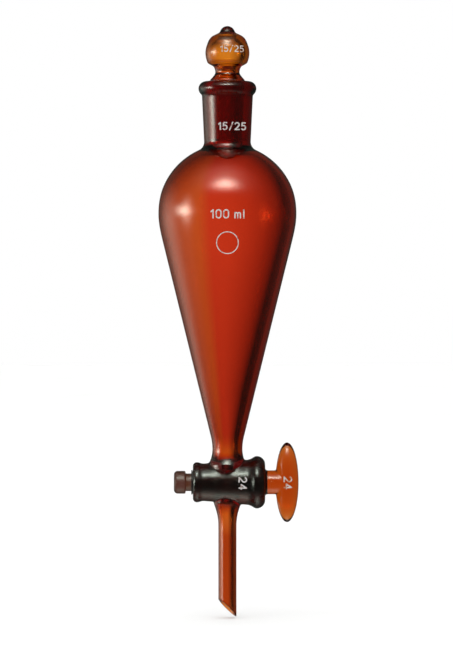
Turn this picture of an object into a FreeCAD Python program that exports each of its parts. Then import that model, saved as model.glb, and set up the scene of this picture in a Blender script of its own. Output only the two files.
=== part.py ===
import FreeCAD, Part
import math
import os
import re
import Sketcher

# Separatory funnel, pear shaped, nominal 100 ml, in amber glass, with a 15/25 ground joint,
# a hollow glass stopper and a glass stopcock.  Millimetres, +Z up.  The origin is on the
# funnel's axis where its cone rests in a 50 mm support ring.  The stopcock lies along X, with
# the handle towards +X, and is open in this pose: handle and key bore are upright.

DIMENSIONS = [
    # pear-shaped body
    ("bulb_dia", 60.0),
    ("cone_angle", 13.85),
    ("seat_dia", 50.0),
    ("bulb_wall", 1.8),
    ("cone_depth", 72.0),
    ("shoulder_fillet", 4.0),
    ("throat_dia", 13.2),
    # ground joints
    ("joint_dia", 15.0),
    ("joint_len", 25.0),
    ("taper", 0.05),
    ("fit_gap", 0.03),
    ("neck_dia", 20.1),
    ("rim_height", 80.9),
    ("bead_dia", 25.0),
    # stopper
    ("plug_tail", 33.4),
    ("waist_dia", 10.4),
    ("waist_height", 4.0),
    ("globe_dia", 19.0),
    ("finial_height", 19.9),
    ("stopper_wall", 1.6),
    # stopcock
    ("cock_depth", 92.2),
    ("barrel_small_end", 14.9),
    ("barrel_len", 31.2),
    ("mouth_dia", 10.0),
    ("small_bead_dia", 17.3),
    ("large_bead_dia", 22.6),
    ("key_bore_dia", 3.0),
    ("side_bore_dia", 3.5),
    ("cone_proud", 0.2),
    ("groove_dia", 7.6),
    ("groove_len", 3.0),
    ("button_dia", 9.8),
    ("button_len", 5.0),
    ("key_stem_dia", 10.3),
    ("handle_height", 34.4),
    ("handle_width", 10.0),
    ("handle_thickness", 10.6),
    ("handle_offset", 25.75),
    ("ring_dia", 10.6),
    ("ring_thickness", 0.5),
    # outlet
    ("stem_dia", 7.8),
    ("stem_bore_dia", 4.8),
    ("stem_flare_depth", 111.0),
    ("tip_depth", 150.4),
    # white enamel marks
    ("enamel", 0.12),
    ("stroke", 0.55),
]

# lengths worked out from the driving dimensions, as expressions
BULB_R = "(bulb_dia/2)"
BULB_CENTRE = f"({BULB_R}*sin(cone_angle) + ({BULB_R}*cos(cone_angle) - seat_dia/2)/tan(cone_angle))"
SHOULDER_RISE = f"sqrt(({BULB_R} + shoulder_fillet)^2 - (neck_dia/2 + shoulder_fillet)^2)"
SEAM_HEIGHT = f"({BULB_CENTRE} + {SHOULDER_RISE})"
INNER_R = f"({BULB_R} - bulb_wall)"
CONE_FOOT_R = "(seat_dia/2 - cone_depth*tan(cone_angle))"
CONE_FOOT_BORE_R = f"({CONE_FOOT_R} - bulb_wall/cos(cone_angle))"
SOCKET_LEN = f"(rim_height - {SEAM_HEIGHT})"
JOINT_FOOT_R = "(joint_dia/2 - taper*joint_len)"
GLOBE_R = "(globe_dia/2)"
KEY_START = "(barrel_small_end + cone_proud + groove_len)"
KEY_LEN = "(groove_len + cone_proud + barrel_len)"
GLOBE_CENTRE = 8.3

doc = FreeCAD.newDocument("separatory_funnel")
sheet = doc.addObject("Spreadsheet::Sheet", "Sheet")
for row, (alias, value) in enumerate(DIMENSIONS, start=1):
    sheet.set(f"A{row}", alias)
    sheet.set(f"B{row}", str(value))
    sheet.setAlias(f"B{row}", alias)
doc.recompute()

ALIASES = {alias for alias, _ in DIMENSIONS}
nodes = {}


def bound(text):
    """Point every alias in an expression at the sheet."""
    def place(match):
        word = match.group(0)
        return f"Sheet.{word}" if word in ALIASES else word
    return re.sub(r"[a-z_]+", place, str(text))


def size(text):
    """Present value of an expression in millimetres."""
    return float(sheet.evalExpression(re.sub(r"Sheet\.", "", bound(text))))


def origin_plane(body, role):
    return next(item for item in body.Origin.OriginFeatures if item.Role == role)


def add_body(label):
    body = doc.addObject("PartDesign::Body", label)
    body.Label = label
    nodes[label] = body
    return body


def sketch_on(body, role, name):
    sketch = body.newObject("Sketcher::SketchObject", name)
    sketch.AttachmentSupport = [(origin_plane(body, role), "")]
    sketch.MapMode = "FlatFace"
    return sketch


def arc_between(start, end, radius):
    """Short arc between two points; a positive radius turns left, a negative one right."""
    chord = end - start
    half = chord.Length / 2
    left = FreeCAD.Vector(-chord.y, chord.x, 0).normalize()
    reach = math.sqrt(max(radius * radius - half * half, 0.0))
    centre = (start + end) * 0.5 + left * math.copysign(reach, radius)
    first, last = (start, end) if radius > 0 else (end, start)
    angles = [math.atan2(p.y - centre.y, p.x - centre.x) for p in (first, last)]
    if angles[1] <= angles[0]:
        angles[1] += 2 * math.pi
    circle = Part.Circle(centre, FreeCAD.Vector(0, 0, 1), abs(radius))
    return Part.ArcOfCircle(circle, angles[0], angles[1])


def draw_outline(sketch, path):
    """Closed outline in a sketch.  Each step of the path is the point it goes to, (x, y), or
    (x, y, radius) when it gets there on an arc.  Every number may be an expression."""
    points = [FreeCAD.Vector(size(step[0]), size(step[1]), 0) for step in path]
    heads = []
    tails = []
    for index, step in enumerate(path):
        start, end = points[index - 1], points[index]
        if len(step) == 3:
            radius = size(step[2])
            edge = sketch.addGeometry(arc_between(start, end, radius), False)
            rule = sketch.addConstraint(Sketcher.Constraint("Radius", edge, abs(radius)))
            sketch.setExpression(f"Constraints[{rule}]", bound(f"abs({step[2]})"))
            ends = (1, 2) if radius > 0 else (2, 1)
        else:
            edge = sketch.addGeometry(Part.LineSegment(start, end), False)
            ends = (1, 2)
        heads.append((edge, ends[0]))
        tails.append((edge, ends[1]))
    for index, step in enumerate(path):
        tail = tails[index]
        head = heads[(index + 1) % len(path)]
        sketch.addConstraint(Sketcher.Constraint("Coincident", *tail, *head))
        for kind, axis, value in (("DistanceX", -2, step[0]), ("DistanceY", -1, step[1])):
            if size(value) == 0:
                sketch.addConstraint(Sketcher.Constraint("PointOnObject", *tail, axis))
            else:
                rule = sketch.addConstraint(Sketcher.Constraint(kind, -1, 1, *tail, size(value)))
                sketch.setExpression(f"Constraints[{rule}]", bound(value))


def turned(label, path):
    """Body of revolution about its own Z axis, from half of its section."""
    body = add_body(label)
    sketch = sketch_on(body, "XZ_Plane", f"{label}_section")
    draw_outline(sketch, path)
    turn = body.newObject("PartDesign::Revolution", f"{label}_turn")
    turn.Profile = sketch
    turn.ReferenceAxis = (sketch, ["V_Axis"])
    turn.Angle = 360
    sketch.Visibility = False
    return body


def drill_across(body, diameter, height):
    """Round hole along the body's own X axis, through and through."""
    doc.recompute()
    before = body.Shape.Volume
    sketch = sketch_on(body, "YZ_Plane", f"{body.Label}_bore")
    circle = Part.Circle(FreeCAD.Vector(0, size(height), 0), FreeCAD.Vector(0, 0, 1), size(diameter) / 2)
    edge = sketch.addGeometry(circle, False)
    sketch.addConstraint(Sketcher.Constraint("PointOnObject", edge, 3, -2))
    rule = sketch.addConstraint(Sketcher.Constraint("DistanceY", -1, 1, edge, 3, size(height)))
    sketch.setExpression(f"Constraints[{rule}]", bound(height))
    rule = sketch.addConstraint(Sketcher.Constraint("Diameter", edge, size(diameter)))
    sketch.setExpression(f"Constraints[{rule}]", bound(diameter))
    pocket = body.newObject("PartDesign::Pocket", f"{body.Label}_hole")
    pocket.Profile = sketch
    pocket.Type = "ThroughAll"
    pocket.SideType = "Symmetric"
    doc.recompute()
    if body.Shape.Volume > before - 1:
        raise RuntimeError(f"the hole in {body.Label} cut nothing")


def place(item, offsets, turn_about_y=0):
    """Put a sub-part in the frame; each offset is bound to the sheet."""
    item.Placement = FreeCAD.Placement(
        FreeCAD.Vector(*(size(offset) for offset in offsets)),
        FreeCAD.Rotation(FreeCAD.Vector(0, 1, 0), turn_about_y),
    )
    for axis, offset in zip("xyz", offsets):
        if size(offset) != 0:
            item.setExpression(f"Placement.Base.{axis}", bound(offset))


def cap_radius(base_r, rise):
    """Radius of a spherical cap, as an expression, from its base radius and its rise."""
    return f"((({base_r})^2 + ({rise})^2)/(2*({rise})))"


def cut_by(label, base, tool):
    """Base with the tool's shape taken away."""
    cut = doc.addObject("Part::Cut", label)
    cut.Label = label
    cut.Base = base
    cut.Tool = tool
    nodes[label] = cut
    return cut


# ---- fused glass body ----------------------------------------------------------------

def make_pear_bulb():
    """Sphere and tangent cone, drawn up to the neck in a small fillet."""
    ratio = f"({BULB_R}/({BULB_R} + shoulder_fillet))"
    centre = f"(cone_depth + {BULB_CENTRE})"
    mouth_r = 9.0
    throat_r = "throat_dia/2"
    body = turned("pear_bulb", [
        (CONE_FOOT_R, 0),
        (f"{BULB_R}*cos(cone_angle)", f"{centre} - {BULB_R}*sin(cone_angle)"),
        (f"{ratio}*(neck_dia/2 + shoulder_fillet)", f"{centre} + {ratio}*{SHOULDER_RISE}", BULB_R),
        ("neck_dia/2", f"cone_depth + {SEAM_HEIGHT}", "-shoulder_fillet"),
        (throat_r, f"cone_depth + {SEAM_HEIGHT}"),
        (throat_r, f"cone_depth + {SEAM_HEIGHT} - 1.4"),
        (mouth_r, f"{centre} + sqrt({INNER_R}^2 - {mouth_r}^2)", 4),
        (f"{INNER_R}*cos(cone_angle)", f"{centre} - {INNER_R}*sin(cone_angle)", f"-{INNER_R}"),
        (CONE_FOOT_BORE_R, 0),
    ])
    place(body, (0, 0, "-cone_depth"))


def make_neck_socket():
    """Female joint: bore tapering 1 in 10 on diameter, thick wall and a rounded bead."""
    top = SOCKET_LEN
    body = turned("neck_socket", [
        ("neck_dia/2", 0),
        ("neck_dia/2 + taper*(joint_len - 6.8)", f"{top} - 6.8"),
        ("bead_dia/2 - 1.1", f"{top} - 5.5", "-1.6"),
        ("bead_dia/2", f"{top} - 3.1", 3.2),
        ("bead_dia/2 - 2.9", top, 3.1),
        ("joint_dia/2 + 0.4", top),
        ("joint_dia/2 - taper*0.4", f"{top} - 0.4", 0.5),
        (JOINT_FOOT_R, f"{top} - joint_len"),
        ("throat_dia/2", 0),
    ])
    place(body, (0, 0, SEAM_HEIGHT))


def make_stopcock_barrel():
    """Tapered shell with a bead at each end; the side bores meet the two arms."""
    top = "barrel_len"
    mouth_r = "mouth_dia/2"
    crest_r = "small_bead_dia/2"
    large_r = "large_bead_dia/2"
    body = turned("stopcock_barrel", [
        (f"{mouth_r} + 0.5", 0),
        (f"{crest_r} - 1.35", 0),
        (crest_r, 1.8, 1.7),
        (f"{crest_r} - 0.3", 3.1, 2.6),
        (f"{crest_r} - 0.55", 4.9, "-4.5"),
        (f"{large_r} - 1.55", "barrel_len - 7.4"),
        (f"{large_r} - 0.45", "barrel_len - 5.0", "-6"),
        (f"{large_r}", "barrel_len - 3.5", 2.4),
        (f"{large_r} - 3.5", top, 3.6),
        (f"{mouth_r} + taper*barrel_len + 0.4", top),
        (f"{mouth_r} + taper*(barrel_len - 0.4)", f"{top} - 0.4"),
        (f"{mouth_r} + taper*0.5", 0.5),
    ])
    drill_across(body, "side_bore_dia", "barrel_small_end")
    place(body, ("-barrel_small_end", 0, "-cock_depth"), 90)


def make_barrel_blank():
    """The barrel's outside without its bore, to shape the ends of the two arms."""
    barrel = nodes["stopcock_barrel"]
    core = doc.addObject("Part::Cone", "barrel_core")
    core.setExpression("Radius1", bound("mouth_dia/2 + 1"))
    core.setExpression("Radius2", bound("mouth_dia/2 + taper*barrel_len + 1"))
    core.setExpression("Height", bound("barrel_len"))
    place(core, ("-barrel_small_end", 0, "-cock_depth"), 90)
    blank = doc.addObject("Part::Fuse", "barrel_blank")
    blank.Base = barrel
    blank.Tool = core
    return blank


def make_inlet_arm(blank):
    """Tube from the cone's foot, waisted and then flared into the barrel."""
    waist_r = f"({CONE_FOOT_R} - 0.78)"
    saddle = "(cock_depth - cone_depth - 3.0)"
    top = saddle
    body = turned("inlet_blank", [
        (f"{waist_r} + 1.75", 0),
        (f"{waist_r} + 1.75", f"{top} - 12.4"),
        (waist_r, f"{top} - 5.8", "-13.3"),
        (CONE_FOOT_R, top, "-23"),
        (CONE_FOOT_BORE_R, top),
        ("side_bore_dia/2 + 0.6", f"{top} - 8.0", "-40"),
        ("side_bore_dia/2", f"{top} - 10.5"),
        ("side_bore_dia/2", 0),
    ])
    del nodes["inlet_blank"]
    place(body, (0, 0, f"-cone_depth - {top}"))
    cut_by("inlet_arm", body, blank)


def make_delivery_stem(blank):
    """Outlet tube, flared into the barrel and cut off at 45 degrees at its tip."""
    reach = "(tip_depth - cock_depth - 5.0)"
    flare = "(tip_depth - stem_flare_depth)"
    body = turned("stem_blank", [
        ("stem_dia/2", 0),
        ("stem_dia/2", flare),
        ("stem_dia/2 + 2.2", f"{flare} + 10.0", "-24"),
        ("stem_dia/2 + 2.2", reach),
        ("side_bore_dia/2", reach),
        ("side_bore_dia/2", f"{flare} + 10.0"),
        ("stem_bore_dia/2", f"{flare} + 6.0"),
        ("stem_bore_dia/2", 0),
    ])
    del nodes["stem_blank"]
    sketch = sketch_on(body, "XZ_Plane", "stem_bevel")
    draw_outline(sketch, [
        ("-stem_dia", "-stem_dia"),
        ("stem_dia", "-stem_dia"),
        ("stem_dia", "-stem_dia/2"),
        ("-stem_dia", "stem_dia*3/2"),
    ])
    bevel = body.newObject("PartDesign::Pocket", "stem_tip_cut")
    bevel.Profile = sketch
    bevel.Type = "ThroughAll"
    bevel.SideType = "Symmetric"
    place(body, (0, 0, "-tip_depth"))
    cut_by("delivery_stem", body, blank)


# ---- stopper ---------------------------------------------------------------------------

def make_stopper_plug():
    """Hollow male joint with a sealed round tip, closed above by the waist."""
    rim = "plug_tail"
    foot = f"({rim} - joint_len - 1.4)"
    foot_r = f"({JOINT_FOOT_R} - fit_gap - taper*1.4)"
    top = f"({rim} + waist_height)"
    wall = "stopper_wall"
    tip_r = f"({foot_r} - 1.2)"
    tip_rise = 3.4
    well_r = f"({tip_r} - {wall})"
    well_rise = 2.4
    body = turned("stopper_plug", [
        (tip_r, tip_rise, cap_radius(tip_r, tip_rise)),
        (foot_r, foot),
        ("joint_dia/2 - fit_gap + taper*0.4", f"{rim} + 0.4"),
        ("joint_dia/2 - 0.7", f"{rim} + 1.3", 1.2),
        ("waist_dia/2 + 0.5", f"{rim} + 2.7"),
        ("waist_dia/2", top, "-2.6"),
        (f"waist_dia/2 - {wall}", top),
        (f"waist_dia/2 - {wall}", f"{rim} + 2.0"),
        (f"joint_dia/2 - {wall} - 0.3", f"{rim} - 1.5"),
        (f"{foot_r} - {wall}", foot),
        (well_r, f"{wall} + {well_rise}"),
        (0, wall, f"-{cap_radius(well_r, well_rise)}"),
        (0, 0),
    ])
    place(body, (0, 0, "rim_height - plug_tail"))


def make_stopper_head():
    """Hollow globe grip with a small solid finial."""
    centre = GLOBE_CENTRE
    low = 3.2
    high = 3.6
    dome_r = 3.1
    dome_rise = 2.1
    body = turned("stopper_head", [
        ("waist_dia/2", 0),
        ("waist_dia/2 + 0.55", 2.0, "-4.5"),
        ("waist_dia/2 + 1.5", 2.85, "-1.3"),
        (f"{GLOBE_R} - 2.0", 3.3),
        (f"sqrt({GLOBE_R}^2 - {low}^2)", f"{centre} - {low}", 2.1),
        (f"sqrt({GLOBE_R}^2 - {high}^2)", f"{centre} + {high}", GLOBE_R),
        (f"{GLOBE_R} - 1.8", 14.3, 9.0),
        (f"{GLOBE_R} - 3.9", 16.0, 4.5),
        (f"{GLOBE_R} - 5.2", 16.65),
        (dome_r, f"finial_height - {dome_rise}", "-1.6"),
        (0, "finial_height", cap_radius(dome_r, dome_rise)),
        (0, f"{centre} - 0.2 + {GLOBE_R} - stopper_wall"),
        (f"sqrt(({GLOBE_R} - stopper_wall)^2 - 2.8^2)", f"{centre} - 3.0", f"stopper_wall - {GLOBE_R}"),
        ("waist_dia/2 + 0.4", 3.9, "-2.2"),
        ("waist_dia/2 - stopper_wall", 1.9, "3.0"),
        ("waist_dia/2 - stopper_wall", 0),
    ])
    place(body, (0, 0, "rim_height + waist_height"))


# ---- stopcock key ------------------------------------------------------------------------

def make_key_plug():
    """Ground cone with its cross bore, the groove at the small end and the shoulder."""
    foot = "groove_len"
    shoulder = f"({KEY_LEN} - 1.0)"
    foot_r = "(mouth_dia/2 - fit_gap - taper*cone_proud)"
    body = turned("key_plug", [
        ("groove_dia/2", 0),
        ("groove_dia/2", foot),
        (foot_r, foot),
        (f"{foot_r} + taper*({shoulder} - {foot})", shoulder),
        ("key_stem_dia/2 + 0.55", f"{shoulder} + 1.1", 1.4),
        ("key_stem_dia/2", f"{shoulder} + 1.9", "-1.0"),
        (0, f"{shoulder} + 1.9"),
        (0, 0),
    ])
    drill_across(body, "key_bore_dia", KEY_START)
    place(body, (f"-{KEY_START}", 0, "-cock_depth"), 90)


def make_key_button():
    """Rounded knob beyond the groove; it just passes through the barrel."""
    body = turned("key_button", [
        ("button_dia/2 - 1.5", 0),
        ("button_dia/2", 1.5, 1.6),
        ("button_dia/2", "button_len - 0.4"),
        ("button_dia/2 - 0.4", "button_len", 0.4),
        (0, "button_len"),
        (0, 0),
    ])
    place(body, (f"-{KEY_START} - button_len", 0, "-cock_depth"), 90)


def make_retaining_ring():
    """Thin rubber ring stretched over the button into the groove."""
    body = turned("retaining_ring", [
        ("ring_dia/2", 0),
        ("ring_dia/2", "ring_thickness"),
        ("groove_dia/2", "ring_thickness"),
        ("groove_dia/2", 0),
    ])
    place(body, ("-barrel_small_end - cone_proud - ring_thickness", 0, "-cock_depth"), 90)


def make_key_handle():
    """Thumb piece: an ellipsoid, upright when the cock is open, on a round stem."""
    start = f"({KEY_LEN} + 0.9 - {KEY_START})"
    stem = doc.addObject("Part::Cylinder", "handle_stem")
    stem.setExpression("Radius", bound("key_stem_dia/2"))
    stem.setExpression("Height", bound(f"handle_offset - {start}"))
    place(stem, (start, 0, "-cock_depth"), 90)
    tablet = doc.addObject("Part::Ellipsoid", "handle_tablet")
    tablet.setExpression("Radius1", bound("handle_height/2"))
    tablet.setExpression("Radius2", bound("handle_width/2"))
    tablet.setExpression("Radius3", bound("handle_thickness/2"))
    place(tablet, ("handle_offset", 0, "-cock_depth"))
    handle = doc.addObject("Part::Fuse", "key_handle")
    handle.Label = "key_handle"
    handle.Base = stem
    handle.Tool = tablet
    nodes["key_handle"] = handle


# ---- white enamel marks --------------------------------------------------------------------

# Plain stroke characters on a cell 0.6 wide and 1 high: a line is (x0, y0, x1, y1) and an arc
# is (centre x, centre y, radius, start angle, end angle).
STROKES = {
    "0": [(0.0, 0.3, 0.0, 0.7), (0.6, 0.3, 0.6, 0.7), (0.3, 0.7, 0.3, 0, 180), (0.3, 0.3, 0.3, 180, 360)],
    "1": [(0.1, 0.78, 0.34, 1.0), (0.34, 1.0, 0.34, 0.0)],
    "2": [(0.3, 0.7, 0.3, -38, 170), (0.54, 0.52, 0.0, 0.0), (0.0, 0.0, 0.6, 0.0)],
    "4": [(0.46, 0.0, 0.46, 1.0), (0.46, 1.0, 0.0, 0.3), (0.0, 0.3, 0.6, 0.3)],
    "5": [(0.55, 1.0, 0.1, 1.0), (0.1, 1.0, 0.07, 0.53), (0.28, 0.31, 0.31, -150, 133)],
    "/": [(0.05, -0.05, 0.5, 1.05)],
    "m": [(0.0, 0.0, 0.0, 0.68), (0.17, 0.48, 0.17, 0, 180), (0.34, 0.0, 0.34, 0.48),
          (0.51, 0.48, 0.17, 0, 180), (0.68, 0.0, 0.68, 0.48)],
    "l": [(0.1, 0.0, 0.1, 1.0)],
    " ": [],
}
ADVANCE = {"m": 1.0, "l": 0.4, " ": 0.45, "/": 0.85, "1": 0.72}
FULL_TURN = 360
REACH = 60.0
UP = FreeCAD.Vector(0, 0, 1)


def stroke_solid(stroke, height, width):
    """One stroke of a flat drawing in XY, raised along +Z, with round ends if it is a line."""
    if len(stroke) == 4:
        start_x, start_y, end_x, end_y = (value * height for value in stroke)
        run = math.hypot(end_x - start_x, end_y - start_y)
        bar = Part.makeBox(run, width, REACH, FreeCAD.Vector(0, -width / 2, 0))
        caps = [Part.makeCylinder(width / 2, REACH, FreeCAD.Vector(x, 0, 0)) for x in (0, run)]
        slab = bar.multiFuse(caps)
        slab.rotate(FreeCAD.Vector(), UP, math.degrees(math.atan2(end_y - start_y, end_x - start_x)))
        slab.translate(FreeCAD.Vector(start_x, start_y, 0))
        return slab
    centre_x, centre_y, radius = (value * height for value in stroke[:3])
    centre = FreeCAD.Vector(centre_x, centre_y, 0)
    start_angle, end_angle = stroke[3:]
    outer = Part.makeCylinder(radius + width / 2, REACH, centre, UP, end_angle - start_angle)
    sector = outer.cut(Part.makeCylinder(radius - width / 2, REACH, centre, UP))
    sector.rotate(centre, UP, start_angle)
    return sector


def upright(slabs):
    """Join a drawing's slabs and stand it in the XZ plane, facing -Y, centred on the axis."""
    word = slabs[0].multiFuse(slabs[1:]) if len(slabs) > 1 else slabs[0]
    box = word.BoundBox
    word.translate(FreeCAD.Vector(-(box.XMin + box.XMax) / 2, -(box.YMin + box.YMax) / 2, 0))
    word.rotate(FreeCAD.Vector(), FreeCAD.Vector(1, 0, 0), 90)
    return word


def lettering(text, height, width):
    cursor = 0.0
    slabs = []
    for letter in text:
        for stroke in STROKES[letter]:
            slab = stroke_solid(stroke, height, width)
            slab.translate(FreeCAD.Vector(cursor * height, 0, 0))
            slabs.append(slab)
        cursor += ADVANCE.get(letter, 0.95)
    return upright(slabs)


def add_mark(label, slab, outer, inner):
    """Enamel: what the slab, which reaches out from the axis to the front, covers of the skin
    between two solids."""
    mark = doc.addObject("Part::Feature", label)
    mark.Label = label
    mark.Shape = slab.common(outer.cut(inner)).removeSplitter()
    nodes[label] = mark


def cone_skins(radius, slope, height, z_mid):
    """Outer and inner cone of the enamel on an upright conical wall; radius is at z_mid."""
    half = height / 2
    return [Part.makeCone(radius - slope * half + skin, radius + slope * half + skin, height,
                          FreeCAD.Vector(0, 0, z_mid - half))
            for skin in (size("enamel"), 0.0)]


def sphere_skins(radius, centre_z):
    centre = FreeCAD.Vector(0, 0, centre_z)
    return [Part.makeSphere(radius + skin, centre) for skin in (size("enamel"), 0.0)]


def raised_to(slab, height):
    slab.translate(FreeCAD.Vector(0, 0, height))
    return slab


def make_capacity_mark():
    volume = raised_to(lettering("100 ml", 3.4, size("stroke")), 23.1)
    add_mark("capacity_mark", volume, *sphere_skins(size(BULB_R), size(BULB_CENTRE)))


def make_marking_field():
    """Plain ring on the cone, where a bench number is written."""
    height, radius, line = 10.9, 4.6, 0.4
    ring = raised_to(upright([stroke_solid((0, 0, 1, 0, FULL_TURN), radius, line)]), height)
    slope = math.tan(math.radians(size("cone_angle")))
    add_mark("marking_field", ring, *cone_skins(size("seat_dia/2") + slope * height, slope, 14, height))


def make_socket_mark():
    height, offset_x = 61.2, 2.0
    code = raised_to(lettering("15/25", 2.9, size("stroke")), height)
    code.translate(FreeCAD.Vector(offset_x, 0, 0))
    slope = size("taper*(joint_len - 6.8)") / size(f"{SOCKET_LEN} - 6.8")
    radius = size("neck_dia/2") + slope * (height - size(SEAM_HEIGHT))
    add_mark("socket_size_mark", code, *cone_skins(radius, slope, 8, height))


def make_stopper_mark():
    globe_height = size("rim_height + waist_height") + GLOBE_CENTRE
    code = raised_to(lettering("15/25", 2.45, size("stroke") * 0.8), globe_height + 1.3)
    code.translate(FreeCAD.Vector(2.0, 0, 0))
    add_mark("stopper_size_mark", code, *sphere_skins(size(GLOBE_R), globe_height))


def pair_number(offset_x):
    """Two figures read from top to bottom, centred on the stopcock's axis."""
    number = lettering("24", 3.2, size("stroke"))
    number.rotate(FreeCAD.Vector(), FreeCAD.Vector(0, 1, 0), 90)
    number.translate(FreeCAD.Vector(offset_x, 0, -size("cock_depth")))
    return number


def make_barrel_number():
    low_x = size("4.9 - barrel_small_end")
    high_x = size("barrel_len - 7.4 - barrel_small_end")
    low_r, high_r = size("small_bead_dia/2 - 0.55"), size("large_bead_dia/2 - 1.55")
    base = FreeCAD.Vector(low_x, 0, -size("cock_depth"))
    skins = [Part.makeCone(low_r + skin, high_r + skin, high_x - low_x, base, FreeCAD.Vector(1, 0, 0))
             for skin in (size("enamel"), 0.0)]
    add_mark("barrel_number", pair_number(6.6), *skins)


def make_handle_number():
    enamel = size("enamel")
    cover = Part.makeSphere(1.0)
    stretch = FreeCAD.Matrix()
    stretch.scale(size("handle_width/2") + enamel, size("handle_thickness/2") + enamel,
                  size("handle_height/2") + enamel)
    cover = cover.transformGeometry(stretch)
    cover.translate(FreeCAD.Vector(size("handle_offset"), 0, -size("cock_depth")))
    add_mark("handle_number", pair_number(size("handle_offset") + 0.3), cover, nodes["key_handle"].Shape)


make_pear_bulb()
make_neck_socket()
make_stopcock_barrel()
barrel_blank = make_barrel_blank()
make_inlet_arm(barrel_blank)
make_delivery_stem(barrel_blank)
make_stopper_plug()
make_stopper_head()
make_key_plug()
make_key_button()
make_retaining_ring()
make_key_handle()
doc.recompute()
make_capacity_mark()
make_marking_field()
make_socket_mark()
make_stopper_mark()
make_barrel_number()
make_handle_number()
doc.recompute()

for item in doc.Objects:
    if {"Invalid", "Error"} & set(item.State):
        raise RuntimeError(f"{item.Label} failed: {item.State}")
os.makedirs("parts", exist_ok=True)
for label, item in nodes.items():
    shape = item.Shape
    if shape.isNull() or not shape.isValid():
        raise RuntimeError(f"{label} has no valid shape")
for label, item in nodes.items():
    item.Shape.exportStep(os.path.join("parts", f"{label}.step"))
    box = item.Shape.BoundBox
    print(f"{label:20s} solids {len(item.Shape.Solids)} volume {item.Shape.Volume:9.2f} "
          f"z {box.ZMin:8.2f} {box.ZMax:8.2f} x {box.XMin:7.2f} {box.XMax:7.2f}")
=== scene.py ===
import math

import bmesh
import bpy
import numpy as np
from mathutils import Matrix, Vector


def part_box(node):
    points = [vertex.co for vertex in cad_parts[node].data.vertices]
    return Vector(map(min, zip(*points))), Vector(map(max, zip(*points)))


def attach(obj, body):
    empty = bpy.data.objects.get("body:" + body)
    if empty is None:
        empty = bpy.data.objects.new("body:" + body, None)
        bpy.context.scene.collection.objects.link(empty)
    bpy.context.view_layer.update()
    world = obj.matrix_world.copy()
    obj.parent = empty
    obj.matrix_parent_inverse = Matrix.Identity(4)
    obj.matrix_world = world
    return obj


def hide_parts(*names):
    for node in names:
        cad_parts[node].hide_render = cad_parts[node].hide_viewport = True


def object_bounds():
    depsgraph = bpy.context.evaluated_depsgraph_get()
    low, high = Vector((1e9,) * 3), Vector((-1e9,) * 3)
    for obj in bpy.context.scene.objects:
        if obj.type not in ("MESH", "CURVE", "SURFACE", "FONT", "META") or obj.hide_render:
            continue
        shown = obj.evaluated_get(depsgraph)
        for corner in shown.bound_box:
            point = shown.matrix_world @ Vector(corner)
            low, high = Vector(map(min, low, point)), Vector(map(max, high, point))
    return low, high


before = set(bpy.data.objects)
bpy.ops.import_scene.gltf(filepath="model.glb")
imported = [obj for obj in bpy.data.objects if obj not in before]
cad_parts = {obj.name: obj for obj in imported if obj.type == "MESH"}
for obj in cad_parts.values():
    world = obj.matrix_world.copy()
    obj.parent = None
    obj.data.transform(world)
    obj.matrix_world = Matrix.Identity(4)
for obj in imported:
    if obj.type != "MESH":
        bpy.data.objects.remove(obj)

# Separatory funnel in amber glass.  Profiles are written in millimetres and become metres
# when a mesh is made.  Heights and radii come from the CAD nodes' boxes where those give them.

MM = 0.001
cad_low, cad_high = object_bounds()


def node_low(node):
    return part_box(node)[0] / MM


def node_high(node):
    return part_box(node)[1] / MM


# ---- sizes, in millimetres ----------------------------------------------------------------

CONE_ANGLE = math.radians(13.85)
SEAT_R = 25.0
BULB_WALL = 1.8
WALL_DRIFT = 0.25
SHOULDER_FILLET = 4.0
THROAT_R = 6.6
JOINT_R = 7.5
JOINT_LEN = 25.0
TAPER = 0.05
FIT_GAP = 0.03
NECK_R = 10.05
MOUTH_R = 5.0
GROOVE_R = 3.8
KEY_STEM_R = 5.15
KEY_BORE_R = 1.5
SIDE_BORE_R = 1.75
STEM_BORE_R = 2.8
GLOBE_CENTRE = 8.3
POINT_STEP = 0.15
SHARP_EDGE = math.radians(40)

BULB_R = node_high("pear_bulb").x
FOOT_Z = node_low("pear_bulb").z
SEAM_Z = node_low("neck_socket").z
RIM_Z = node_high("neck_socket").z
BEAD_R = node_high("neck_socket").x
STOPPER_TIP_Z = node_low("stopper_plug").z
WAIST_Z = node_high("stopper_plug").z
FINIAL_Z = node_high("stopper_head").z
GLOBE_R = node_high("stopper_head").x
COCK_Z = (node_low("key_button").z + node_high("key_button").z) / 2
BARREL_X = node_low("stopcock_barrel").x
BARREL_LEN = node_high("stopcock_barrel").x - BARREL_X
LARGE_BEAD_R = node_high("stopcock_barrel").y
BUTTON_X = node_low("key_button").x
BUTTON_R = node_high("key_button").y
HANDLE_X = 25.75
HANDLE_HALF = Vector((4.999, node_high("key_handle").y, node_high("key_handle").z - COCK_Z))
TIP_Z = node_low("delivery_stem").z
RING_R = node_high("retaining_ring").y
STEM_R = 3.9
FLARE_Z = -111.0
TIP_TURN = math.radians(18)

# Finish of the glass, from 0 (polished) to 1 (ground), kept at every point of a mesh.

STOPCOCK_GROUND = 1.0
SOCKET_GROUND = 0.8
TIP_GROUND = 0.7
BARREL_SATIN = 0.5
KEY_POLISH = 0.22
POLISHED = 0.0

SIN, COS, TAN = math.sin(CONE_ANGLE), math.cos(CONE_ANGLE), math.tan(CONE_ANGLE)
BULB_Z = BULB_R * SIN + (BULB_R * COS - SEAT_R) / TAN
FOOT_R = SEAT_R + FOOT_Z * TAN
FOOT_BORE_R = FOOT_R - BULB_WALL / COS - 0.2
INNER_R = BULB_R - BULB_WALL


# ---- outlines -------------------------------------------------------------------------------

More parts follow.
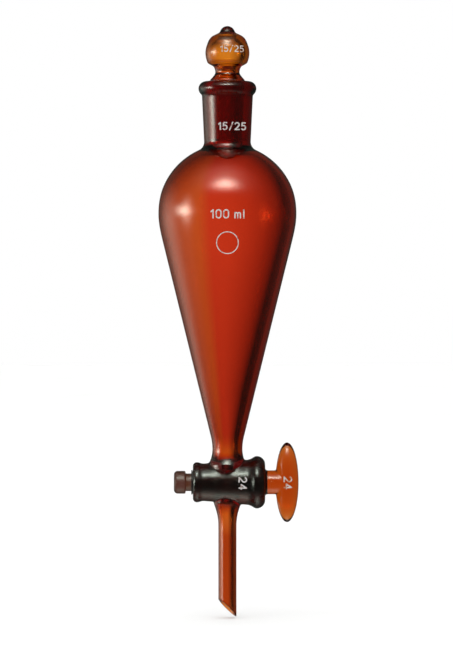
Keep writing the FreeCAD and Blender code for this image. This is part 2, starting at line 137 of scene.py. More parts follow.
def arc_points(start, end, radius):
    """Points after start up to end on the short arc; a positive radius turns left."""
    chord = end - start
    half = chord.length / 2
    left = Vector((-chord.y, chord.x)).normalized()
    centre = (start + end) / 2 + left * math.copysign(math.sqrt(max(radius**2 - half**2, 0)), radius)
    first = start - centre
    turn = 2 * math.asin(min(half / abs(radius), 1.0)) * math.copysign(1, radius)
    count = max(2, math.ceil(abs(radius * turn) / POINT_STEP))
    return [centre + Matrix.Rotation(turn * i / count, 2) @ first for i in range(1, count + 1)]


def dense_points(path, closed):
    """Closely spaced points along steps of (radius, height) or (radius, height, arc radius)."""
    corners = [Vector(point[:2]) for point in path]
    points = [] if closed else [corners[0]]
    for index in range(0 if closed else 1, len(path)):
        start, end = corners[index - 1], corners[index]
        if len(path[index]) == 3:
            points += arc_points(start, end, path[index][2])
        else:
            count = max(1, math.ceil((end - start).length / POINT_STEP))
            points += [start.lerp(end, i / count) for i in range(1, count + 1)]
    return np.array(points)


def softened(points, closed, width):
    """Corners rounded as the flame leaves them: a running average of about that width."""
    reach = int(4 * width / POINT_STEP)
    weights = np.exp(-0.5 * (np.arange(-reach, reach + 1) * POINT_STEP / width) ** 2)
    weights /= weights.sum()
    if closed:
        padded = np.concatenate([points[-reach:], points, points[:reach]])
    else:
        mirrored = points * [-1, 1]
        padded = np.concatenate([mirrored[reach:0:-1], points, mirrored[-2:-reach - 2:-1]])
    return np.stack([np.convolve(padded[:, k], weights, mode="valid") for k in (0, 1)], axis=1)


def thinned(points, tolerance, gap):
    """The fewest of the points that keep the line, with no two further apart than gap."""
    keep = [0, len(points) - 1]
    spans = [(0, len(points) - 1)]
    while spans:
        low, high = spans.pop()
        if high - low < 2:
            continue
        start, along = points[low], points[high] - points[low]
        length = np.linalg.norm(along)
        offsets = points[low + 1:high] - start
        if length < 1e-9:
            away = np.linalg.norm(offsets, axis=1)
        else:
            away = np.abs(offsets[:, 0] * along[1] - offsets[:, 1] * along[0]) / length
        worst = low + 1 + int(away.argmax())
        if away.max() < tolerance:
            if length < gap:
                continue
            worst = (low + high) // 2
        keep.append(worst)
        spans += [(low, worst), (worst, high)]
    return points[sorted(keep)]


def outline(path, closed=False, width=0.25, tolerance=0.004, gap=2.5, flow=None):
    """Softened and thinned points; flow is (height, reach) where the curve is eased more."""
    points = softened(dense_points(path, closed), closed, width)
    if flow is not None:
        eased = softened(points, closed, 3.5)
        near = np.clip(1.6 - np.abs(points[:, 1:] - flow[0]) / flow[1], 0.0, 1.0)
        points = points + (eased - points) * near**2 * (3 - 2 * near)
    if closed:
        points = np.concatenate([points, points[:1]])
    points = thinned(points, tolerance, gap)
    if closed:
        return points[:-1]
    points[[0, -1], 0] = 0.0
    return points


# ---- meshes ---------------------------------------------------------------------------------

def turned_mesh(name, outlines, segments=144, along_x=None):
    """Mesh of surfaces of revolution.  Each outline is (points, closed).  The axis is Z, or
    the stopcock's axis with heights measured from along_x."""
    mesh_points, faces = [], []
    angles = np.arange(segments) * 2 * math.pi / segments
    for points, closed in outlines:
        rows = []
        for radius, height in points:
            if radius == 0.0:
                rows.append([len(mesh_points)])
                mesh_points.append((0.0, 0.0, height))
                continue
            rows.append(list(range(len(mesh_points), len(mesh_points) + segments)))
            mesh_points += [(radius * math.cos(a), radius * math.sin(a), height) for a in angles]
        pairs = list(zip(rows, rows[1:])) + ([(rows[-1], rows[0])] if closed else [])
        for lower, upper in pairs:
            for k in range(segments):
                after = (k + 1) % segments
                if len(lower) == 1:
                    faces.append((lower[0], upper[after], upper[k]))
                elif len(upper) == 1:
                    faces.append((lower[k], lower[after], upper[0]))
                else:
                    faces.append((lower[k], lower[after], upper[after], upper[k]))
    if along_x is not None:
        mesh_points = [(z + along_x, y, COCK_Z - x) for x, y, z in mesh_points]
    return made_mesh(name, mesh_points, faces)


def made_mesh(name, points, faces):
    mesh = bpy.data.meshes.new(name)
    mesh.from_pydata([[value * MM for value in point] for point in points], [], faces)
    mesh.update()
    return mesh


def made_object(name, mesh):
    item = bpy.data.objects.new(name, mesh)
    bpy.context.scene.collection.objects.link(item)
    return item


def combine(item, operation, mesh):
    """Boolean of the object with a closed mesh; the result is applied."""
    other = made_object("cutter", mesh)
    step = item.modifiers.new("combine", "BOOLEAN")
    step.operation = operation
    step.solver = "EXACT"
    step.object = other
    graph = bpy.context.evaluated_depsgraph_get()
    result = bpy.data.meshes.new_from_object(item.evaluated_get(graph))
    item.modifiers.clear()
    item.data = result
    bpy.data.objects.remove(other)


def relax(item, near, rounds):
    """Smooth the points that near() picks, as glass flows at a seal."""
    work = bmesh.new()
    work.from_mesh(item.data)
    bmesh.ops.remove_doubles(work, verts=work.verts, dist=0.02 * MM)
    picked = [v for v in work.verts if near(v.co / MM)]
    edges = {e for v in picked for e in v.link_edges if e.calc_length() > 0.9 * MM}
    bmesh.ops.subdivide_edges(work, edges=list(edges), cuts=1)
    bmesh.ops.triangulate(work, faces=[f for f in work.faces if len(f.verts) > 4])
    picked = [v for v in work.verts if near(v.co / MM)]
    for _ in range(rounds):
        bmesh.ops.smooth_vert(work, verts=picked, factor=0.5, use_axis_x=True, use_axis_y=True,
                              use_axis_z=True)
    work.to_mesh(item.data)
    work.free()


def finish_glass(item, ground):
    """Smooth shading, with the finish that ground() gives at each point."""
    mesh = item.data
    work = bmesh.new()
    work.from_mesh(mesh)
    bmesh.ops.remove_doubles(work, verts=work.verts, dist=0.004 * MM)
    bmesh.ops.dissolve_degenerate(work, edges=work.edges, dist=0.002 * MM)
    work.to_mesh(mesh)
    work.free()
    mesh.shade_smooth()
    mesh.set_sharp_from_angle(angle=SHARP_EDGE)
    values = mesh.attributes.new("ground", "FLOAT", "POINT")
    values.data.foreach_set("value", [ground(v.co / MM) for v in mesh.vertices])


def from_cock_axis(point):
    return math.hypot(point.y, point.z - COCK_Z)


def barrel_bore_r(x):
    return MOUTH_R + TAPER * (x - BARREL_X)


def drill_mesh(radius):
    """Upright cutter through the stopcock."""
    return turned_mesh("drill", [(np.array([
        (0.0, COCK_Z - 9.6), (radius, COCK_Z - 9.6), (radius, COCK_Z + 9.6), (0.0, COCK_Z + 9.6),
    ]), False)], segments=48)


# ---- the fused glass body -----------------------------------------------------------------

def vessel_outline():
    """Half-section of socket, bulb and inlet arm, outside upwards and inside downwards."""
    ratio = BULB_R / (BULB_R + SHOULDER_FILLET)
    rise = math.sqrt((BULB_R + SHOULDER_FILLET) ** 2 - (NECK_R + SHOULDER_FILLET) ** 2)
    arm_r = FOOT_R - 0.78
    bead_z = RIM_Z - 3.1
    return outline([
        (arm_r + 1.75, COCK_Z + 2.0),
        (arm_r + 1.75, FOOT_Z - 12.4),
        (arm_r, FOOT_Z - 5.8, -13.3),
        (FOOT_R, FOOT_Z, -23.0),
        (BULB_R * COS, BULB_Z - BULB_R * SIN),
        (ratio * (NECK_R + SHOULDER_FILLET), BULB_Z + ratio * rise, BULB_R),
        (NECK_R, SEAM_Z, -SHOULDER_FILLET),
        (NECK_R + TAPER * (JOINT_LEN - 6.8), RIM_Z - 6.8),
        (BEAD_R - 1.1, RIM_Z - 5.5, -1.6),
        (BEAD_R, bead_z, 3.2),
        (BEAD_R - 2.9, RIM_Z, 3.1),
        (JOINT_R + 0.4, RIM_Z),
        (JOINT_R - TAPER * 0.4, RIM_Z - 0.4, 0.5),
        (JOINT_R - TAPER * JOINT_LEN, RIM_Z - JOINT_LEN),
        (THROAT_R, SEAM_Z),
        (THROAT_R, SEAM_Z - 1.4),
        (9.0, BULB_Z + math.sqrt(INNER_R**2 - 81), 4.0),
        (INNER_R * COS, BULB_Z - INNER_R * SIN, -INNER_R),
        (FOOT_BORE_R, FOOT_Z),
        (FOOT_BORE_R - 0.4, FOOT_Z - 6.0, 20.0),
        (FOOT_BORE_R - 0.3, COCK_Z + 8.9),
        (SIDE_BORE_R + 1.2, COCK_Z + 7.0, -2.2),
        (SIDE_BORE_R + 0.25, COCK_Z + 6.8),
        (SIDE_BORE_R + 0.25, COCK_Z + 2.0),
    ], closed=True, flow=(BULB_Z - BULB_R * SIN, 12.0))


def stem_outline():
    return outline([
        (STEM_R, TIP_Z),
        (STEM_R, FLARE_Z),
        (STEM_R + 2.2, FLARE_Z + 10.0, -24.0),
        (STEM_R + 2.2, COCK_Z - 2.5),
        (SIDE_BORE_R + 0.25, COCK_Z - 2.5),
        (SIDE_BORE_R + 0.25, FLARE_Z + 11.7),
        (SIDE_BORE_R + 0.8, FLARE_Z + 11.5),
        (STEM_BORE_R + 0.9, FLARE_Z + 10.0, -1.7),
        (STEM_BORE_R, FLARE_Z - 1.0, 40.0),
        (STEM_BORE_R, TIP_Z),
    ], closed=True, width=0.2)


def barrel_outline():
    crest_r = RING_R + 3.35
    return outline([
        (0.0, 0.0),
        (crest_r - 1.35, 0.0),
        (crest_r, 1.8, 1.7),
        (crest_r - 0.3, 3.1, 2.6),
        (crest_r - 0.55, 4.9, -4.5),
        (LARGE_BEAD_R - 1.55, BARREL_LEN - 7.4),
        (LARGE_BEAD_R - 0.45, BARREL_LEN - 5.0, -6.0),
        (LARGE_BEAD_R, BARREL_LEN - 3.5, 2.4),
        (LARGE_BEAD_R - 3.5, BARREL_LEN, 3.6),
        (0.0, BARREL_LEN),
    ], gap=0.8)


def bore_outline():
    end = BARREL_LEN
    return np.array([
        (0.0, -1.0),
        (MOUTH_R + 1.45, -1.0),
        (MOUTH_R + TAPER * 0.5, 0.5),
        (MOUTH_R + TAPER * (end - 0.4), end - 0.4),
        (MOUTH_R + TAPER * end + 1.8, end + 1.0),
        (0.0, end + 1.0),
    ])


def bevel_tip(mesh):
    """Slope the outlet's end at 45 degrees by lifting its lowest rings, most of all at -X."""
    full, reach = 1.5, 10.0
    for vertex in mesh.vertices:
        above = vertex.co.z / MM - TIP_Z
        share = min(max((reach - above) / (reach - full), 0.0), 1.0)
        side = vertex.co.x * math.cos(TIP_TURN) + vertex.co.y * math.sin(TIP_TURN)
        vertex.co.z += share * (STEM_R * MM - side)


def drift_bore(mesh):
    """Move the inside of the blown bulb towards -X, so its wall is thinner on that side."""
    for vertex in mesh.vertices:
        x, y, z = vertex.co / MM
        outer = FOOT_R + (z - FOOT_Z) * TAN
        if z > BULB_Z - BULB_R * SIN:
            outer = math.sqrt(max(BULB_R**2 - (z - BULB_Z) ** 2, 0.0))
        if FOOT_Z < z < BULB_Z + 24.0 and math.hypot(x, y) < outer - 0.9:
            share = min((z - FOOT_Z) / 20.0, (BULB_Z + 24.0 - z) / 16.0, 1.0)
            vertex.co.x -= WALL_DRIFT * MM * share


def vessel_ground(point):
    radius = math.hypot(point.x, point.y)
    cock_radius = from_cock_axis(point)
    from_end = min(point.x - BARREL_X, BARREL_X + BARREL_LEN - point.x)
    side = point.x * math.cos(TIP_TURN) + point.y * math.sin(TIP_TURN)
    if RIM_Z - JOINT_LEN - 0.3 < point.z < RIM_Z - 0.5 and radius < JOINT_R + 0.1:
        return SOCKET_GROUND
    if from_end > 0.3 and abs(cock_radius - barrel_bore_r(point.x)) < 0.06:
        return STOPCOCK_GROUND
    if point.z < TIP_Z + STEM_R - side + 0.12:
        return TIP_GROUND
    if from_end > -0.1 and RING_R + 1.2 < cock_radius < LARGE_BEAD_R + 0.1:
        return BARREL_SATIN
    return POLISHED


def seal_zone(point):
    """Where an arm runs into the barrel."""
    radius = math.hypot(point.x, point.y)
    level = point.z - COCK_Z
    arm_r = FOOT_R + 0.97 if level > 0 else STEM_R + 2.2
    barrel_r = RING_R + 2.8 + 0.071 * (point.x - BARREL_X - 4.9)
    off_barrel = from_cock_axis(point) - barrel_r
    return abs(radius - arm_r) < 1.5 and -0.25 < off_barrel < 1.3


def make_vessel(glass):
    vessel = made_object("glass_vessel", turned_mesh("glass_vessel", [(vessel_outline(), True)]))
    drift_bore(vessel.data)
    stem = turned_mesh("stem", [(stem_outline(), True)], segments=72)
    bevel_tip(stem)
    combine(vessel, "UNION", turned_mesh("barrel", [(barrel_outline(), False)], 144, BARREL_X))
    combine(vessel, "UNION", stem)
    relax(vessel, seal_zone, 10)
    combine(vessel, "DIFFERENCE", turned_mesh("bore", [(bore_outline(), False)], 128, BARREL_X))
    combine(vessel, "DIFFERENCE", drill_mesh(SIDE_BORE_R))
    finish_glass(vessel, vessel_ground)
    vessel.data.materials.append(glass)
    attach(vessel, "funnel")
    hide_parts("neck_socket", "pear_bulb", "inlet_arm", "stopcock_barrel", "delivery_stem")


# ---- stopper ----------------------------------------------------------------------------------

def cap_radius(base_r, rise):
    return (base_r**2 + rise**2) / (2 * rise)


def stopper_outlines():
    foot = RIM_Z - JOINT_LEN - 1.4
    foot_r = JOINT_R - FIT_GAP - TAPER * (JOINT_LEN + 1.4)
    tip_r, tip_rise = foot_r - 1.2, 3.4
    waist_r = GLOBE_R - 4.3
    base = WAIST_Z
    dome_r, dome_rise = 3.1, 2.1
    outside = outline([
        (0.0, STOPPER_TIP_Z),
        (tip_r, STOPPER_TIP_Z + tip_rise, cap_radius(tip_r, tip_rise)),
        (foot_r, foot),
        (JOINT_R - FIT_GAP + TAPER * 0.4, RIM_Z + 0.4),
        (JOINT_R - 0.7, RIM_Z + 1.3, 1.2),
        (waist_r + 0.5, RIM_Z + 2.7),
        (waist_r, base, -2.6),
        (waist_r + 0.55, base + 2.0, -4.5),
        (waist_r + 1.5, base + 2.85, -1.3),
        (GLOBE_R - 2.0, base + 3.3),
        (math.sqrt(GLOBE_R**2 - 3.2**2), base + GLOBE_CENTRE - 3.2, 2.1),
        (math.sqrt(GLOBE_R**2 - 3.6**2), base + GLOBE_CENTRE + 3.6, GLOBE_R),
        (GLOBE_R - 1.8, base + 14.3, 9.0),
        (GLOBE_R - 3.9, base + 16.0, 4.5),
        (GLOBE_R - 5.2, base + 16.65),
        (dome_r, FINIAL_Z - dome_rise, -1.6),
        (0.0, FINIAL_Z, cap_radius(dome_r, dome_rise)),
    ], width=0.3, gap=1.5)
    wall = 1.5
    hollow_r = GLOBE_R - wall
    neck_bore = waist_r - wall
    inside = outline([
        (0.0, base + GLOBE_CENTRE + hollow_r),
        (math.sqrt(hollow_r**2 - 9.0), base + GLOBE_CENTRE - 3.0, -hollow_r),
        (waist_r + 0.4, base + 3.9, -2.2),
        (neck_bore, base + 1.9, 3.0),
        (neck_bore, RIM_Z + 2.0),
        (JOINT_R - wall - 0.3, RIM_Z - 1.5),
        (foot_r - wall, foot),
        (tip_r - wall, STOPPER_TIP_Z + wall + 2.4),
        (0.0, STOPPER_TIP_Z + wall, -cap_radius(tip_r - wall, 2.4)),
    ], width=0.5, gap=1.5)
    return [(outside, False), (inside, False)]


def stopper_ground(point):
    radius = math.hypot(point.x, point.y)
    cone_r = JOINT_R - FIT_GAP - TAPER * (RIM_Z - point.z)
    on_cone = RIM_Z - JOINT_LEN - 1.2 < point.z < RIM_Z + 0.3 and abs(radius - cone_r) < 0.08
    return SOCKET_GROUND if on_cone else POLISHED


def make_stopper(glass):
    stopper = made_object("glass_stopper", turned_mesh("glass_stopper", stopper_outlines()))
    finish_glass(stopper, stopper_ground)
    stopper.data.materials.append(glass)
    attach(stopper, "stopper")
    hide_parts("stopper_plug", "stopper_head")


# ---- key ------------------------------------------------------------------------------------

CONE_START = BARREL_X - 0.2 - BUTTON_X
CONE_END = CONE_START + BARREL_LEN - 0.8


def key_outline():
    foot_r = MOUTH_R - FIT_GAP - TAPER * 0.2
    return outline([
        (0.0, 0.0),
        (BUTTON_R - 1.5, 0.0),
        (BUTTON_R, 1.5, 1.6),
        (BUTTON_R, 4.6),
        (BUTTON_R - 0.4, 5.0, 0.4),
        (GROOVE_R, 5.0),
        (GROOVE_R, CONE_START),
        (foot_r, CONE_START),
        (foot_r + TAPER * (CONE_END - CONE_START), CONE_END),
        (KEY_STEM_R + 0.55, CONE_END + 1.1, 1.4),
        (KEY_STEM_R, CONE_END + 1.9, -1.0),
        (KEY_STEM_R, HANDLE_X - BUTTON_X - 0.6),
        (0.0, HANDLE_X - BUTTON_X - 0.6),
    ], width=0.2, gap=0.6)


def tablet_mesh():
    """Ellipsoid thumb piece with pulled-in ends."""
    half = HANDLE_HALF
    steps = 90
    points = np.array([
        (half.x * math.sin(math.pi * i / steps), COCK_Z - half.z * math.cos(math.pi * i / steps))
        for i in range(steps + 1)])
    points[[0, -1], 0] = 0.0
    mesh = turned_mesh("tablet", [(points, False)], segments=96)
    mesh.transform(Matrix.Translation((HANDLE_X * MM, 0, 0)) @ Matrix.Diagonal((1, half.y / half.x, 1, 1)))
    return mesh


def handle_zone(point):
    offset = Vector((point.x - HANDLE_X, point.y, point.z - COCK_Z))
    scaled = math.sqrt(sum((offset[i] / HANDLE_HALF[i]) ** 2 for i in range(3)))
    on_tablet = abs(scaled - 1.0) < 0.22
    return on_tablet and abs(from_cock_axis(point) - KEY_STEM_R) < 1.1 and point.x < HANDLE_X - 0.3


def key_ground(point):
    start = BUTTON_X + CONE_START
    on_cone = start + 0.2 < point.x < start + CONE_END - CONE_START - 0.2 and (
        abs(from_cock_axis(point) - barrel_bore_r(point.x)) < 0.1)
    return STOPCOCK_GROUND if on_cone or point.x < start + 0.2 else KEY_POLISH


def make_key(glass):
    key = made_object("glass_key", turned_mesh("glass_key", [(key_outline(), False)], 128, BUTTON_X))
    combine(key, "UNION", tablet_mesh())
    relax(key, handle_zone, 8)
    combine(key, "DIFFERENCE", drill_mesh(KEY_BORE_R))
    finish_glass(key, key_ground)
    key.data.materials.append(glass)
    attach(key, "key")
    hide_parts("key_plug", "key_button", "key_handle")


def make_ring(rubber):
    """Rubber ring with rounded edges, in the groove against the key's cone."""
    start = node_low("retaining_ring").x
    thick = node_high("retaining_ring").x - start
    points = outline([
        (RING_R, 0.0),
        (RING_R, thick),
        (GROOVE_R, thick),
        (GROOVE_R, 0.0),
    ], closed=True, width=0.06, tolerance=0.002, gap=0.6)
    ring = made_object("rubber_ring", turned_mesh("rubber_ring", [(points, True)], 96, start))
    ring.data.shade_smooth()
    ring.data.set_sharp_from_angle(angle=math.radians(50))
    ring.data.materials.append(rubber)
    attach(ring, "key")
    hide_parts("retaining_ring")


# ---- materials ------------------------------------------------------------------------------

WHITE = (1.0, 1.0, 1.0)


def new_material(name):
    material = bpy.data.materials.new(name)
    material.use_nodes = True
    tree = material.node_tree
    tree.nodes.clear()
    output = tree.nodes.new("ShaderNodeOutputMaterial")
    shader = tree.nodes.new("ShaderNodeBsdfPrincipled")
    tree.links.new(shader.outputs["BSDF"], output.inputs["Surface"])
    return material, tree, shader, output


def noise(tree, scale, detail=3.0, roughness=0.5, stretch=(1, 1, 1)):
    place = tree.nodes.new("ShaderNodeTexCoord")
    mapping = tree.nodes.new("ShaderNodeMapping")
    mapping.inputs["Scale"].default_value = stretch
    texture = tree.nodes.new("ShaderNodeTexNoise")
    texture.inputs["Scale"].default_value = scale
    texture.inputs["Detail"].default_value = detail
    texture.inputs["Roughness"].default_value = roughness
    tree.links.new(place.outputs["Object"], mapping.inputs["Vector"])
    tree.links.new(mapping.outputs["Vector"], texture.inputs["Vector"])
    return texture.outputs["Fac"]


def calculated(tree, operation, first, second=None):
    node = tree.nodes.new("ShaderNodeMath")
    node.operation = operation
    for index, value in enumerate((first, second)):
        if isinstance(value, (int, float)):
            node.inputs[index].default_value = value
        elif value is not None:
            tree.links.new(value, node.inputs[index])
    return node.outputs["Value"]


def mapped(tree, value, from_min, from_max, to_min, to_max):
    node = tree.nodes.new("ShaderNodeMapRange")
    for index, number in enumerate((from_min, from_max, to_min, to_max)):
        node.inputs[index + 1].default_value = number
    tree.links.new(value, node.inputs["Value"])
    return node.outputs["Result"]


def blended(tree, factor, low, high):
    """Mix of two numbers or sockets."""
    node = tree.nodes.new("ShaderNodeMix")
    for label, value in (("A", low), ("B", high), ("Factor", factor)):
        if isinstance(value, (int, float)):
            node.inputs[label].default_value = value
        else:
            tree.links.new(value, node.inputs[label])
    return node.outputs["Result"]


def ramp(tree, value, low, high, start=0.3, end=0.7):
    node = tree.nodes.new("ShaderNodeValToRGB")
    node.color_ramp.elements[0].position = start
    node.color_ramp.elements[0].color = (*low, 1)
    node.color_ramp.elements[1].position = end
    node.color_ramp.elements[1].color = (*high, 1)
    tree.links.new(value, node.inputs["Fac"])
    return node.outputs["Color"]


def bump(tree, height, strength, depth):
    """Bumped surface direction; the depth is in metres."""
    node = tree.nodes.new("ShaderNodeBump")
    node.inputs["Strength"].default_value = strength
    node.inputs["Distance"].default_value = depth
    tree.links.new(height, node.inputs["Height"])
    return node.outputs["Normal"]


def multiplied(tree, first, second):
    """Product of two colours; a number link works as a grey."""
    node = tree.nodes.new("ShaderNodeMix")
    node.data_type = "RGBA"
    node.blend_type = "MULTIPLY"
    node.inputs["Factor"].default_value = 1.0
    tree.links.new(first, node.inputs[6])
    tree.links.new(second, node.inputs[7])
    return node.outputs[2]


def position(tree):
    """Sockets for x, y and z on the object, in millimetres."""
    place = tree.nodes.new("ShaderNodeTexCoord")
    scale = tree.nodes.new("ShaderNodeVectorMath")
    scale.operation = "SCALE"
    scale.inputs["Scale"].default_value = 1 / MM
    parts = tree.nodes.new("ShaderNodeSeparateXYZ")
    tree.links.new(place.outputs["Object"], scale.inputs[0])
    tree.links.new(scale.outputs["Vector"], parts.inputs[0])
    return parts.outputs["X"], parts.outputs["Y"], parts.outputs["Z"]


def distance(tree, first, second):
    """Distance from an axis, from the two offsets across it."""
    first_square = calculated(tree, "MULTIPLY", first, first)
    second_square = calculated(tree, "MULTIPLY", second, second)
    return calculated(tree, "SQRT", calculated(tree, "ADD", first_square, second_square))


def above_arm(tree, z):
    """0 in the inlet arm to 1 in the cone over it."""
    return mapped(tree, z, FOOT_Z - 7, FOOT_Z + 1, 0.0, 1.0)


def above_tube(tree, z):
    """0 in the outlet tube to 1 over its flare."""
    return mapped(tree, z, FLARE_Z - 5, FLARE_Z + 5, 0.0, 1.0)


def redness_and_painted_glow(tree, x, radius, z):
    """0 for orange glass round the stopcock and for painted light at -X, the side the soft lights are on,
    to 1 for red.
    """
    side = calculated(tree, "DIVIDE", x, radius)
    uneven = mapped(tree, noise(tree, 60.0, 2.0, 0.5, (1, 1, 0.15)), 0.2, 0.8, -0.06, 0.06)
    # Painted light: the glass turns orange towards -X, the side the soft lights shine from.
    off_lit_side = mapped(tree, calculated(tree, "ADD", side, uneven), -0.46, -0.28, 0.0, 1.0)
    down_tube = mapped(tree, above_tube(tree, z), 0.0, 1.0, 0.5, 0.0)
    in_bulb = calculated(tree, "MULTIPLY", off_lit_side, above_arm(tree, z))
    return calculated(tree, "MAXIMUM", in_bulb, down_tube)


def barrel_painted_shade(tree, radius, cock_radius):
    """Painted shade that darkens the thick barrel: its middle outside the arms' hollows, and its wider
    ends.
    """
    dark = 0.4
    middle = calculated(tree, "MAXIMUM", mapped(tree, cock_radius, 8.2, 9.4, dark, 1.0),
                        mapped(tree, radius, 4.8, 6.4, 1.0, dark))
    ends = calculated(tree, "MAXIMUM", mapped(tree, cock_radius, 11.8, 12.8, dark, 1.0),
                      mapped(tree, radius, 8.8, 10.5, 1.0, dark))
    return calculated(tree, "MINIMUM", middle, ends)


def body_tint(tree):
    """Orange and red zones of the body, with painted light at -X, deeper down the cone and the outlet tube,
    and painted shade on the barrel.
    """
    x, y, z = position(tree)
    radius = distance(tree, x, y)
    cock_radius = distance(tree, y, calculated(tree, "SUBTRACT", z, COCK_Z))
    # The orange at -X in this hue is painted light.
    hue = ramp(tree, redness_and_painted_glow(tree, x, radius, z), WHITE, (1.0, 0.66, 0.85), 0.0, 1.0)
    arms = ramp(tree, above_arm(tree, z), (1.0, 0.95, 0.6), WHITE, 0.0, 1.0)
    tube = ramp(tree, above_tube(tree, z), (0.79, 0.6, 0.42), WHITE, 0.0, 1.0)
    down_cone = mapped(tree, z, FOOT_Z + 2, 10.0, 0.86, 1.0)
    in_arm = mapped(tree, z, FOOT_Z - 9, FOOT_Z - 1, 0.97, 0.86)
    shade = calculated(tree, "MULTIPLY", calculated(tree, "MAXIMUM", down_cone, in_arm),
                       barrel_painted_shade(tree, radius, cock_radius))
    return multiplied(tree, multiplied(tree, multiplied(tree, hue, arms), tube), shade)


def stopper_tint(tree):
    """Redder at the stopper's waist, where its wall is thick, and darkened at the finial with painted
    shade.
    """
    z = position(tree)[2]
    waist = calculated(tree, "MULTIPLY", mapped(tree, z, RIM_Z - 1, RIM_Z + 1, 0.0, 1.0),
                       mapped(tree, z, WAIST_Z + 1.6, WAIST_Z + 4.4, 1.0, 0.0))
    hue = ramp(tree, waist, WHITE, (0.93, 0.66, 0.7), 0.0, 1.0)
    # Painted shade: the colour falls to 0.4 over the finial.
    return multiplied(tree, hue, mapped(tree, z, FINIAL_Z - 3, FINIAL_Z - 2, 1.0, 0.4))


def key_tint(tree):
    """Redder towards the handle's thin ends."""
    level = calculated(tree, "ABSOLUTE", calculated(tree, "SUBTRACT", position(tree)[2], COCK_Z))
    thin = mapped(tree, level, 4.0, 14.0, 0.0, 1.0)
    return ramp(tree, thin, WHITE, (0.96, 0.78, 0.6), 0.0, 1.0)


def amber_glass(name, through, density, tint):
    """Clear amber glass: tinted by its depth, slightly wavy, matt where it is ground and with
    a satin skin where it is half ground, on the barrel.  Its colour carries painted shade at
    rims seen edge-on and on ground faces."""
    material, tree, shader, output = new_material(name)
    shader.inputs["IOR"].default_value = 1.5
    ground = tree.nodes.new("ShaderNodeAttribute")
    ground.attribute_name = "ground"
    ground = ground.outputs["Fac"]
    clear = mapped(tree, ground, BARREL_SATIN, SOCKET_GROUND, 1.0, 0.9)
    tree.links.new(clear, shader.inputs["Transmission Weight"])

    grit = mapped(tree, noise(tree, 9000.0, 2.0), 0.3, 0.7, 0.3, 0.46)
    dust = mapped(tree, noise(tree, 900.0, 3.0, 0.6), 0.62, 0.85, 0.006, 0.035)
    tree.links.new(blended(tree, ground, dust, grit), shader.inputs["Roughness"])

    coat = 0.4
    satin = calculated(tree, "MINIMUM", mapped(tree, ground, 0.35, BARREL_SATIN, 0.0, coat),
                       mapped(tree, ground, BARREL_SATIN, 0.65, coat, 0.0))
    tree.links.new(satin, shader.inputs["Coat Weight"])
    shader.inputs["Coat Roughness"].default_value = 0.42

    # Painted shade: the colour darkens to half where the surface is seen edge-on, for dark rims.
    edge = tree.nodes.new("ShaderNodeLayerWeight")
    edge.inputs["Blend"].default_value = 0.5
    shade = mapped(tree, edge.outputs["Facing"], 0.05, 0.9, 1.0, 0.5)
    # Painted shade: the colour darkens the more the glass is ground, to 0.78 on the socket and to about a
    # fifth on the stopcock's ground faces and the key's button.
    shade = calculated(tree, "MULTIPLY", shade, mapped(tree, ground, 0.1, 0.8, 1.0, 0.78))
    shade = calculated(tree, "MULTIPLY", shade, mapped(tree, ground, 0.82, 1.0, 1.0, 0.25))
    colour = ramp(tree, noise(tree, 30.0, 2.0), (0.975, 0.95, 0.93), WHITE)
    colour = multiplied(tree, multiplied(tree, colour, shade), tint(tree))
    tree.links.new(colour, shader.inputs["Base Color"])
    waves = bump(tree, noise(tree, 50.0, 1.0, 0.4, (1, 1, 0.35)), 0.3, 0.0005)
    tree.links.new(waves, shader.inputs["Normal"])

    depth = tree.nodes.new("ShaderNodeVolumeAbsorption")
    depth.inputs["Color"].default_value = (*through, 1)
    depth.inputs["Density"].default_value = density
    tree.links.new(depth.outputs["Volume"], output.inputs["Volume"])
    return material


def white_enamel(name, worn, wear):
    """Fired ceramic ink: warm white, worn away in places to the glass's own colour."""
    material, tree, shader, _ = new_material(name)
    colour = ramp(tree, noise(tree, 900.0, 4.0, 0.6), worn, (0.5, 0.48, 0.46), wear - 0.14, wear + 0.04)
    tree.links.new(colour, shader.inputs["Base Color"])
    tree.links.new(mapped(tree, noise(tree, 2500.0), 0.3, 0.7, 0.42, 0.6), shader.inputs["Roughness"])
    tree.links.new(bump(tree, noise(tree, 3500.0, 3.0), 0.4, 0.00003), shader.inputs["Normal"])
    return material


def ring_rubber():
    material, tree, shader, _ = new_material("ring_rubber")
    colour = ramp(tree, noise(tree, 700.0, 4.0), (0.012, 0.01, 0.01), (0.035, 0.028, 0.026))
    tree.links.new(colour, shader.inputs["Base Color"])
    tree.links.new(mapped(tree, noise(tree, 1800.0), 0.3, 0.7, 0.5, 0.7), shader.inputs["Roughness"])
    tree.links.new(bump(tree, noise(tree, 2600.0), 0.3, 0.00003), shader.inputs["Normal"])
    return material


# ---- studio ---------------------------------------------------------------------------------

def make_floor():
    side = 6.0
    height = cad_low.z - 0.0005
    mesh = bpy.data.meshes.new("floor")
    corners = [(-side, -side, height), (side, -side, height), (side, side, height), (-side, side, height)]
    mesh.from_pydata(corners, [], [(0, 1, 2, 3)])
    floor = made_object("floor", mesh)
    material, tree, shader, _ = new_material("floor")
    colour = ramp(tree, noise(tree, 12.0), (0.89, 0.89, 0.89), (0.92, 0.92, 0.92))
    tree.links.new(colour, shader.inputs["Base Color"])
    shader.inputs["Roughness"].default_value = 0.8
    mesh.materials.append(material)
    floor.visible_glossy = False
    floor.visible_transmission = False


def towards(azimuth, elevation):
    """Direction from the funnel; azimuth 0 is the camera's side and +90 is +X."""
    turn, lift = math.radians(azimuth), math.radians(elevation)
    return Vector((math.sin(turn) * math.cos(lift), -math.cos(turn) * math.cos(lift), math.sin(lift)))


def along(tree, direction, axis):
    node = tree.nodes.new("ShaderNodeVectorMath")
    node.operation = "DOT_PRODUCT"
    tree.links.new(direction, node.inputs[0])
    node.inputs[1].default_value = axis
    return node.outputs["Value"]


